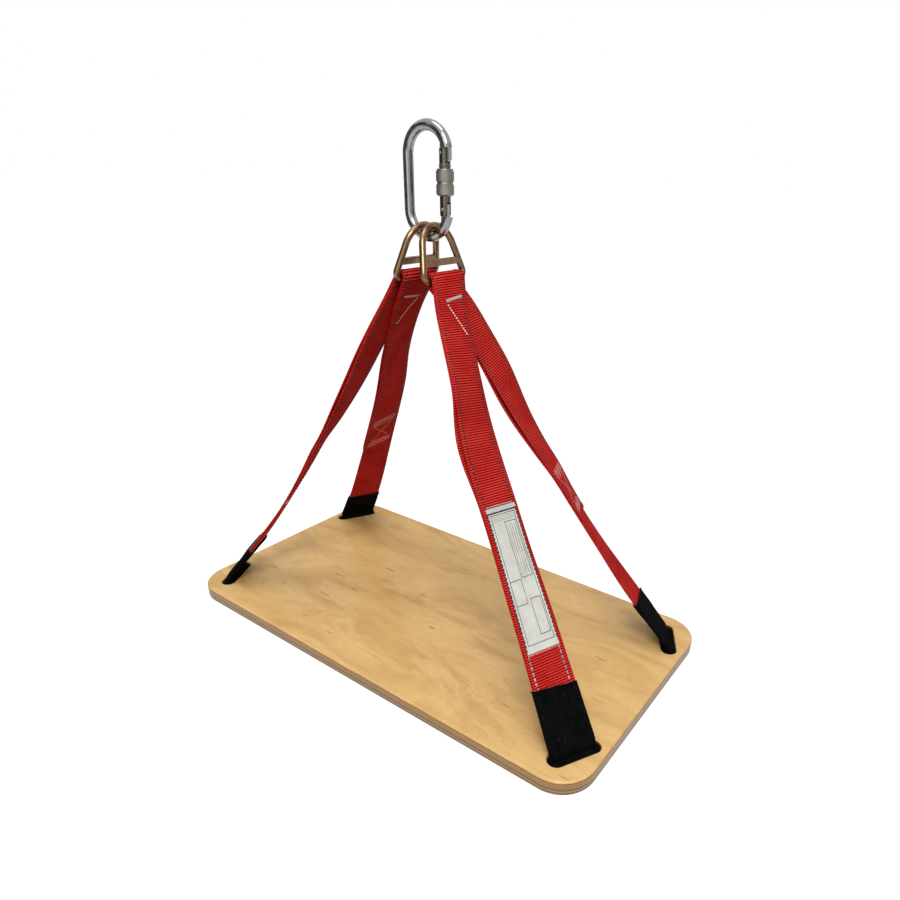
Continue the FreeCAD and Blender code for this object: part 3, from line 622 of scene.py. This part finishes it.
def triangle_marks(top, sign, away):
    """Dense bar across the webbing under a ring, and the slanting row below it."""
    bar, tip = top + sign * 26.0, top + sign * 66.0
    marks = [zigzag((bar, away * -9.0), (bar - sign * 3.0, away * 16.5), width=3.2, pitch=0.62,
                    thickness=0.9, height=0.6)]
    return marks + running((bar + sign * 4.0, away * -8.0), (tip, away * 17.2), pitch=3.6, length=2.6,
                           width=1.7, height=0.5)


def patch_marks(start, stop):
    """Four dense rows at each end of the patch, and a crossed box between them."""
    marks = []
    for k in range(4):
        for s in (start + 2.3 * k, stop - 2.3 * k):
            marks.append(zigzag((s, -21.0), (s, 19.0), width=1.2, pitch=1.1, thickness=0.6, height=0.35))
    s0, s1, u0, u1 = start + 10.0, stop - 10.0, -17.0, 15.0
    for a, b in (((s0, u0), (s1, u1)), ((s0, u1), (s1, u0)), ((s0, u0), (s0, u1)), ((s1, u0), (s1, u1))):
        marks += running(a, b, pitch=3.0, length=2.3, width=0.8, height=0.4)
    return marks


def sling(outer, inner, swells):
    """Two layers of webbing over a ring, with its stitching, and the patch where the inner layer ends.

    swells gives for the outer leg and the inner one where the layer beyond stands off as a hump: its
    middle and reach as shares of the leg, and its height.
    """
    path = sling_path(outer, inner)
    top_a, top_b = path.outer_top, path.inner_top
    lap = top_b + LAP_AT * path.inner_free
    (a1, r1, h1), (a2, r2, h2) = swells
    tag = outer + "_" + inner

    def lift_a(s):
        return swell(s, top_b + a2 * path.inner_free, r2 * path.inner_free, h2)

    def lift_b(s):
        return -swell(s, top_a - a1 * path.outer_free, r1 * path.outer_free, h1)

    def a_low(s):
        return FACE_NEAR + lift_a(s)

    def a_high(s):
        return FACE_FAR + lift_a(s)

    def b_low(s):
        return -FACE_FAR + lift_b(s)

    def b_high(s):
        return -FACE_NEAR + lift_b(s)

    def shift_b(s):
        at_lap = np.clip((s - lap + LAP_SHIFT_REACH) / LAP_SHIFT_REACH, 0.0, 1.0)
        return LAP_SHIFT * at_lap ** 2 + swell(s, top_a - a1 * path.outer_free, 90.0, -0.8)

    layer_a = ribbed_strip("webbing_over_" + tag, path, 0.0, path.length, a_low, a_high, RED)
    ribbed_strip("webbing_inside_" + tag, path, 0.0, lap, b_low, b_high, RED, shift=shift_b)
    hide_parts("webbing_leg_" + outer, "webbing_leg_" + inner)
    sleeve_a = top_a - path.outer_free + LEGS[outer]["sleeve"]
    seams = []
    for u in ROW_PLACES:
        seams += dashes(sleeve_a + 1.0, lap - 2.0, lambda s, u=u: u + 0.35 * np.sin(s / 31.0 + u))
    sewn("row_stitches_over_" + tag, path, seams, a_high, ROW)
    sewn("row_stitches_inside_" + tag, path, seams, b_low, ROW, sign=-1.0)
    side = 1.0 if LEGS[outer]["sy"] < 0 else -1.0
    for leg, top, sign in ((outer, top_a, -1.0), (inner, top_b, 1.0)):
        marks = triangle_marks(top, sign, away=-side * sign)
        sewn("triangle_stitch_" + leg, path, marks, a_high, PALE)
    patch = patch_marks(lap - PATCH_REACH, lap - PATCH_END)
    sewn("patch_stitch_over_" + inner, path, patch, a_high, PINK)
    sewn("patch_stitch_inside_" + inner, path, patch, b_low, PINK, sign=-1.0)
    return path, a_high


def under_run(first, second, drop, tag):
    """One layer that crosses under the board."""
    ends = []
    for name in (first, second):
        p = leg_path(name)
        faces = (-LAYER, LAYER if LEGS[name]["outer"] else 0.0)
        c, w, n = p.centre[-1], p.width[-1], p.normal[-1]
        ends.append((c + n * sum(faces) / 2.0, w))
    level = ends[1][0] - ends[0][0]
    width = unit(np.array([abs(level[1]) * np.sign(ends[0][1][0]), abs(level[0]), 0.0]))
    share = np.linspace(0.0, 1.0, RUN_POINTS)
    stations = (0.0, CROSSING_FROM, 1.0 - CROSSING_FROM, 1.0)
    depth = np.interp(share, stations, (ends[0][0][2], SEAT_BOTTOM - drop, SEAT_BOTTOM - drop, ends[1][0][2]))
    points = ends[0][0] + level * share[:, None]
    points[:, 2] = smoothed(depth[:, None], RUN_SMOOTHING)[:, 0]
    blend = np.interp(share, stations, (0.0, 1.0, 1.0, 0.0))[:, None]
    widths = unit(width * blend + ends[0][1] * (1.0 - blend))
    path = Path(points, widths, np.tile(-Z, (len(points), 1)))
    strip = ribbed_strip("webbing_run_" + tag, path, 0.0, path.length,
                         lambda s: -RUN_HALF + 0 * s, lambda s: RUN_HALF + 0 * s, RED)
    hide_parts("webbing_under_" + tag)


def bunching(path, d, height):
    """How far a sleeve fills its slot by distance: 1 inside the board, and 0 elsewhere."""
    on_arc = (d > path.free + 4.0) & (height < SEAT_BOTTOM + 2.0)
    entering = np.clip((SEAT_TOP - 0.5 - height) / 4.0, 0.0, 1.0)
    leaving = np.clip((height - SEAT_BOTTOM - 1.0) / 5.0, 0.0, 1.0)
    share = np.where(on_arc, 0.0, entering * leaving)
    return share * share * (3.0 - 2.0 * share)


def creases(leg, d, ring_u, height):
    """Uneven lie of a sleeve's fabric, which lies flatter where it nears the board."""
    seed = leg["sx"] * 1.7 + leg["sy"] * 0.9
    lie = (0.38 * np.sin(d / 9.0 + 2.2 * ring_u + seed) * np.sin(d / 23.0 + 1.3 * seed)
           + 0.22 * np.sin(d / 4.1 + 5.0 * ring_u - seed) * np.sin(ring_u * 3.0 + d / 17.0))
    fits = np.clip((SEAT_TOP + 3.0 - height) / 3.0, 0.0, 1.0)
    return lie * (1.0 - 0.75 * fits)


def mouth_frays(name, path, start, heights):
    """Loose threads at a sleeve's raw mouth, on its outer and inner face."""
    for side, face, height in heights:
        threads = []
        for _ in range(FRAYS):
            u, lean, reach = rng.uniform(-26.0, 26.0), rng.uniform(-1.2, 1.2), rng.uniform(0.5, 2.0)
            rim = start + SLEEVE_RIM_SLANT * u / (SLEEVE_WIDTH / 2.0)
            out = rim + 1.0 - np.linspace(0, 1 + reach, 4)
            line = np.column_stack([out, u + lean * np.linspace(0, 1, 4) ** 2])
            threads.append(thread(line, FRAY_WIDTH, FRAY_WIDTH))
        sewn("fray_" + side + "_" + name, path, threads, lambda s, h=height: h + 0 * s, FRAY, sign=face)


def wear_sleeve(name, flare):
    """Flattened fabric tube with serrated sides and a raw mouth, bunched up where it fills its slot."""
    leg = LEGS[name]
    path = leg_path(name)
    low, high = -LAYER - SLEEVE_ROOM, (LAYER if leg["outer"] else 0.0) + SLEEVE_ROOM
    middle, half = (low + high) / 2.0, (high - low) / 2.0
    start, end = path.free - leg["sleeve"], path.length - LEG_END_BARE
    rows, columns = 230, 44
    phi = np.linspace(0.0, 2 * np.pi, columns, endpoint=False)
    ring_u = np.sign(np.cos(phi)) * np.abs(np.cos(phi)) ** 0.32
    ring_h = np.sign(np.sin(phi)) * np.abs(np.sin(phi)) ** 0.75
    d = np.linspace(start, end, rows)[:, None]
    mouth = np.exp(-np.clip(d - start, 0.0, None) / MOUTH_REACH)
    s = d + SLEEVE_RIM_SLANT * ring_u * mouth
    height = path.at(d[:, 0])[0][:, 2][:, None]
    bunched = bunching(path, d, height)
    teeth = np.abs(np.sin(np.pi * d / SERRATION_PITCH)) - 0.6
    serration = SERRATION * teeth * np.abs(ring_u) ** 8 * (1.0 - bunched)
    crease = creases(leg, d, ring_u, height)
    to_wall = SLOT_WIDTH / 2.0 + PASSAGE_INWARD * np.sign(ring_h) - SLOT_ROOM
    rounded = 8.4 * (1.0 - np.sqrt(1.0 - 0.96 * ring_h ** 2))
    to_end = SLOT_LENGTH / 2.0 - SLOT_ROOM - leg["shift"] * np.sign(ring_u) - rounded
    points, uvs, faces = [], [], []
    for k, wall in enumerate((SLEEVE_WALL, 0.0)):
        thick = half + wall + SLEEVE_EASE + flare * mouth
        h = middle + ring_h * thick + crease * ring_h
        full = np.sign(ring_h) * np.abs(ring_h) ** 1.4 * (to_wall - SLEEVE_WALL + wall)
        h = h * (1.0 - bunched) + full * bunched
        u = ring_u * (SLEEVE_WIDTH / 2.0 - SLEEVE_WALL + wall + serration)
        full = np.sign(ring_u) * np.minimum(np.abs(ring_u) * 40.0, to_end - SLEEVE_WALL + wall)
        u = u * (1.0 - bunched) + full * bunched
        points.append(path.surface(s, u, h).reshape(-1, 3))
        uvs.append(np.stack([u + 0 * s, s], -1).reshape(-1, 2))
        quads = grid_faces(rows, columns, k * rows * columns)
        faces += [tuple(q) for q in (quads if k == 0 else quads[:, ::-1])]
    total, last = rows * columns, (rows - 1) * columns
    for i in range(columns):
        j = (i + 1) % columns
        faces.append((i, total + i, total + j, j))
        faces.append((last + j, total + last + j, total + last + i, last + i))
    piece = make("wear_tube_" + name, np.concatenate(points), faces, BLACK, uv=np.concatenate(uvs))
    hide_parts("wear_sleeve_" + name)
    rise = half + SLEEVE_WALL * 0.6 + SLEEVE_EASE + flare
    mouth_frays(name, path, start, (("outer", 1.0, middle + rise), ("inner", -1.0, middle - rise)))


# Label

def sheet_piece(name, path, s0, s1, u0, u1, top, thick, material, rounding=0.0):
    """Thin flat piece on a strip's face, between two distances and two places across."""
    rows = max(int(abs(s1 - s0) / 2.5), 2) + 1
    s = np.linspace(s0, s1, rows)[:, None]
    across = np.array([u0, u0, u0 + (u1 - u0) * 0.5, u1, u1, u0 + (u1 - u0) * 0.5])
    over = np.array([0.0, thick, thick + rounding, thick, 0.0, 0.0])
    h = top(s) + over
    points = path.surface(s + 0 * across, across + 0 * s, h).reshape(-1, 3)
    uv = np.stack([across + 0 * s, s + 0 * across], -1).reshape(-1, 2)
    return make(name, points, capped(rows, len(across)), material, uv=uv, smooth=False)


def label_rules(first, last, u0, u1):
    """Places of the label's ruled lines: one under its head, four boxes, and rows in two of them."""
    a, b = first - 7.5, last + 7.5
    boxes = ((a, b, u0 + 3.0, u1 - 3.0), (a - 9.0, a - 68.0, -1.5, u1 - 5.0),
             (a - 68.5, a - 94.0, u0 + 3.0, -2.5), (a - 90.0, b + 7.0, 1.0, u1 - 5.0))
    end_line, side_line = 0.65, 0.55
    rules = [(first - 4.8, first - 6.2, u0, u1)]
    for s0, s1, left, right in boxes:
        rules += [(s0, s0 - end_line, left, right), (s1 + end_line, s1, left, right),
                  (s0, s1, left, left + side_line), (s0, s1, right - side_line, right)]
    rules += [(a - 12.0, a - 65.0, 1.0 + 3.2 * j, 1.35 + 3.2 * j) for j in range(4)]
    rules += [(a - 2.2 - 2.1 * j, a - 2.5 - 2.1 * j, u0 + 5.5, u1 - 5.0) for j in range(3)]
    return rules


def label(path, top):
    """White woven label with a folded head, a ruled form and stitched edges."""
    first = path.outer_top - LABEL_SPAN[0] * path.outer_free
    last = path.outer_top - LABEL_SPAN[1] * path.outer_free
    u0, u1 = -LABEL_WIDTH / 2.0 - LABEL_ASIDE, LABEL_WIDTH / 2.0 - LABEL_ASIDE
    tape = sheet_piece("label_tape", path, first, last, u0, u1, top, 0.45, WHITE, 0.12)
    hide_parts("identity_label")
    sheet_piece("label_head", path, first, first - 4.6, u0 - 0.3, u1 + 0.3, top, 1.25, GREY, 0.15)
    sheet_piece("label_foot", path, last + 5.0, last, u0, u1, top, 0.85, WHITE, 0.1)
    for k, (s0, s1, left, right) in enumerate(label_rules(first, last, u0, u1)):
        sheet_piece(f"label_rule_{k:02d}", path, s0, s1, left, right, top, 0.62, INK)
    edge = []
    for u in (u0 + 0.1, u1 - 0.1):
        edge += running((last + 2.0, u), (first - 2.0, u), pitch=4.6, length=3.9, width=1.7, height=0.45)
    sewn("label_side_stitches", path, edge, lambda s: top(s) + 0.5, INK)
    ends = []
    for s in (first + 1.6, last - 1.4):
        ends += running((s, u0), (s, u1), pitch=2.5, length=1.8, width=0.8, height=0.4)
    sewn("label_end_stitches", path, ends, top, PALE)


# Metal

def lock_outline(radius, length):
    """Half section (radius, height) of the lock sleeve: two bands, the grooves over them, and its bore."""
    low_band, high_band = (BAND_FOOT, length / 2.0 - 1.7), (length / 2.0 + 1.0, length - 2.0)
    outline = [(LOCK_BORE, 0.0), (radius - 1.6, 0.0)]
    for a, b in (low_band, high_band):
        outline += [(radius, a + (b - a) * share) for share in np.linspace(0.0, 1.0, 22)]
        if (a, b) == low_band:
            outline += [(radius - 0.9, b + 0.1), (radius - 0.9, b + 1.4)]
            b += 1.4
        outline += [(radius - 0.95, b + 0.1), (radius - 0.95, b + 1.0)]
    outline += [(radius - 0.8, length - 0.9), (radius - 1.0, length), (LOCK_RECESS, length)]
    return np.array(outline + [(LOCK_RECESS, length - LOCK_DEPTH), (LOCK_BORE, length - LOCK_DEPTH)])


def lock_sleeve():
    """Screw sleeve with two knurled bands, in place of the plain one."""
    low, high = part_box("screw_sleeve")
    axis = np.array([(low[0] + high[0]) / 2.0, (low[1] + high[1]) / 2.0, 0.0]) / MM
    z0, z1 = low[2] / MM, high[2] / MM
    radius, length = (high[1] - low[1]) / 2.0 / MM, z1 - z0
    outline = lock_outline(radius, length)
    rows, columns = len(outline), 144
    phi = np.linspace(0.0, 2 * np.pi, columns, endpoint=False)
    r, z = outline[:, :1] + 0 * phi, outline[:, 1:] + 0 * phi
    knurled = np.abs(r - radius) < 1e-6
    edge = np.minimum(np.abs(z - BAND_FOOT), np.abs(z - length + 1.0))
    waves = np.sin(KNURLS * phi + z * KNURL_RISE) * np.sin(KNURLS * phi - z * KNURL_RISE)
    r = r - knurled * np.clip(edge / 0.8, 0.3, 1.0) * KNURL_DEPTH * (0.5 - 0.5 * waves)
    points = np.stack([axis[0] + r * np.cos(phi), axis[1] + r * np.sin(phi), z0 + z], -1).reshape(-1, 3)
    faces = [tuple(f) for f in grid_faces(rows, columns)[:, ::-1]]
    last = (rows - 1) * columns
    for i in range(columns):
        j = (i + 1) % columns
        faces.append((i, j, last + j, last + i))
    piece = make("lock_sleeve_knurled", points, faces, SATIN, body="lock_sleeve")
    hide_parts("screw_sleeve")
    mod = piece.modifiers.new("edges", "EDGE_SPLIT")
    mod.split_angle = math.radians(32.0)


def gate_thread():
    """Screw thread on the gate, which shows above the unlocked sleeve."""
    columns, pitch, turns = 48, 1.25, 3
    root, crest, fading = 5.3, 6.0, 8.0
    profile = ((root, -0.55), (crest, -0.15), (crest, 0.15), (root, 0.55))
    total = columns * turns
    points = []
    for i in range(total + 1):
        a = 2 * math.pi * i / columns
        fade = min(i / fading, (total - i) / fading, 1.0)
        for r, dz in profile:
            radius = root + (r - root) * fade
            z = THREAD_TOP - pitch * i / columns + dz * pitch * 0.8
            points.append((GATE_X + radius * math.cos(a), radius * math.sin(a), z))
    make("gate_thread", points, capped(total + 1, 4), SATIN, body="gate", smooth=False)


def dress(node, material):
    """Give a solid of the frame its material."""
    mesh = NODES[node].data
    mesh.materials.clear()
    mesh.materials.append(material)
    mesh.polygons.foreach_set("material_index", [0] * len(mesh.polygons))


label_path, label_face = sling("front", "right", ((0.36, 0.13, 4.5), (0.30, 0.18, 3.2)))
sling("left", "back", ((0.28, 0.20, 2.0), (0.30, 0.20, 1.4)))
under_run("front", "back", UPPER_DROP, "front_back")
under_run("left", "right", LOWER_DROP, "left_right")
for leg_name, leg_flare in (("front", 0.3), ("right", 0.8), ("left", 0.9), ("back", 0.4)):
    wear_sleeve(leg_name, leg_flare)
label(label_path, label_face)
lock_sleeve()
gate_thread()
dress("seat_board", plywood())
for node in ("dee_ring_right", "dee_ring_left"):
    dress(node, ZINC)
dress("carabiner_body", CHROME)
dress("carabiner_gate", GATE)
for node in ("gate_hinge_pin", "gate_latch_pin", "gate_plunger", "gate_spring"):
    dress(node, STEEL)


# Stage, with its lengths in metres

FLOOR_REACH, FLOOR_LEVEL, FLOOR_GLOW, AMBIENT = 60.0, -0.98, 0.80, 0.52
FLAG_DISTANCE, FLAG_FOOT = 3.2, -0.9
# Azimuth and width in degrees, and the height of the top
FLAGS = ((-92, 20, 1.0), (-116, 22, 1.8), (-141, 22, 1.8), (-168, 22, 1.8), (165, 22, 1.6), (138, 14, 1.2),
         (96, 14, 1.6), (30, 26, 1.6), (-18, 10, 1.0))
LAMP_TARGET = (0.0, 0.0, -0.38)
CAMERA_PLACE, CAMERA_ANGLES = (0.48854, -0.55825, -0.03423), (63.57647, -1.23639, 35.64088)
CAMERA_LENS, CAMERA_SHIFT = 26.922, (-0.0564, 0.0632)


def white_floor():
    """Pale floor that glows for the camera and for mirror rays, so that it shows white."""
    m = Shader("pale_floor", Roughness=0.9)
    m.feed("Base Color", linear(160, 160, 160))
    path = m.tree.nodes.new("ShaderNodeLightPath")
    seen = m.maths("MAXIMUM", path.outputs["Is Camera Ray"],
                   m.maths("MAXIMUM", path.outputs["Is Glossy Ray"], path.outputs["Is Transmission Ray"]))
    glow = m.tree.nodes.new("ShaderNodeEmission")
    m.put(glow.inputs["Strength"], m.maths("MULTIPLY", seen, FLOOR_GLOW))
    both = m.tree.nodes.new("ShaderNodeAddShader")
    m.put(both.inputs[0], m.shader.outputs[0])
    m.put(both.inputs[1], glow.outputs[0])
    m.put(m.out.inputs[0], both.outputs[0])
    return m.material


def wide_floor():
    """Wide floor under the hanging chair."""
    mesh = bpy.data.meshes.new("floor")
    sides = ((-1, -1), (1, -1), (1, 1), (-1, 1))
    corners = [(x * FLOOR_REACH, y * FLOOR_REACH, FLOOR_LEVEL) for x, y in sides]
    mesh.from_pydata(corners, [], [(0, 1, 2, 3)])
    mesh.materials.append(white_floor())
    floor = bpy.data.objects.new("floor", mesh)
    bpy.context.scene.collection.objects.link(floor)


def studio():
    """White world for the camera and for mirror rays, and a softer light for the rest."""
    world = bpy.data.worlds.new("studio")
    bpy.context.scene.world = world
    world.use_nodes = True
    tree = world.node_tree
    tree.nodes.clear()
    out = tree.nodes.new("ShaderNodeOutputWorld")
    path = tree.nodes.new("ShaderNodeLightPath")
    shades = []
    for strength in (AMBIENT, 1.0):
        background = tree.nodes.new("ShaderNodeBackground")
        background.inputs[0].default_value = (1.0, 1.0, 1.0, 1.0)
        background.inputs[1].default_value = strength
        shades.append(background.outputs[0])
    share = path.outputs["Is Camera Ray"]
    for other in ("Is Glossy Ray", "Is Transmission Ray"):
        node = tree.nodes.new("ShaderNodeMath")
        node.operation = "MAXIMUM"
        tree.links.new(share, node.inputs[0])
        tree.links.new(path.outputs[other], node.inputs[1])
        share = node.outputs[0]
    mix = tree.nodes.new("ShaderNodeMixShader")
    tree.links.new(share, mix.inputs[0])
    tree.links.new(shades[0], mix.inputs[1])
    tree.links.new(shades[1], mix.inputs[2])
    tree.links.new(mix.outputs[0], out.inputs[0])


def lamp(name, place, size, power):
    """Round soft lamp that points at the chair."""
    data = bpy.data.lights.new(name, "AREA")
    data.shape, data.size, data.energy = "DISK", size, power
    obj = bpy.data.objects.new(name, data)
    bpy.context.scene.collection.objects.link(obj)
    obj.location = place
    obj.rotation_euler = (Vector(LAMP_TARGET) - Vector(place)).to_track_quat("-Z", "Y").to_euler()


def dark_flags():
    """Black panels that only polished metal shows, so that it has contrast."""
    points, faces = [], []
    for azimuth, wide, top in FLAGS:
        ends = [math.radians(azimuth + side * wide / 2.0) for side in (-1.0, 1.0)]
        start = len(points)
        for z in (FLAG_FOOT, top):
            points += [(FLAG_DISTANCE * math.cos(a), FLAG_DISTANCE * math.sin(a), z) for a in ends]
        faces.append((start, start + 1, start + 3, start + 2))
    mesh = bpy.data.meshes.new("dark_flags")
    mesh.from_pydata(points, [], faces)
    mesh.materials.append(Shader("flag_black", Base_Color=linear(28, 28, 28), Roughness=1.0).material)
    flags = bpy.data.objects.new("dark_flags", mesh)
    bpy.context.scene.collection.objects.link(flags)
    flags.visible_camera = flags.visible_diffuse = flags.visible_shadow = flags.visible_transmission = False


def camera():
    """Camera at the photograph's place, where its angles are turns about X, Y and Z in degrees."""
    data = bpy.data.cameras.new("camera")
    data.lens, data.sensor_width = CAMERA_LENS, 36.0
    data.shift_x, data.shift_y = CAMERA_SHIFT
    obj = bpy.data.objects.new("camera", data)
    bpy.context.scene.collection.objects.link(obj)
    turns = Euler([math.radians(angle) for angle in CAMERA_ANGLES])
    obj.matrix_world = Matrix.LocRotScale(Vector(CAMERA_PLACE), turns, None)
    bpy.context.scene.camera = obj


wide_floor()
studio()
dark_flags()
lamp("key", (1.2, -1.4, 1.6), 1.2, 46.0)
lamp("fill", (0.3, -2.2, 0.3), 1.4, 6.0)
lamp("top", (0.0, -0.2, 2.2), 1.6, 24.0)
camera()
bpy.context.scene.view_settings.view_transform = "Standard"
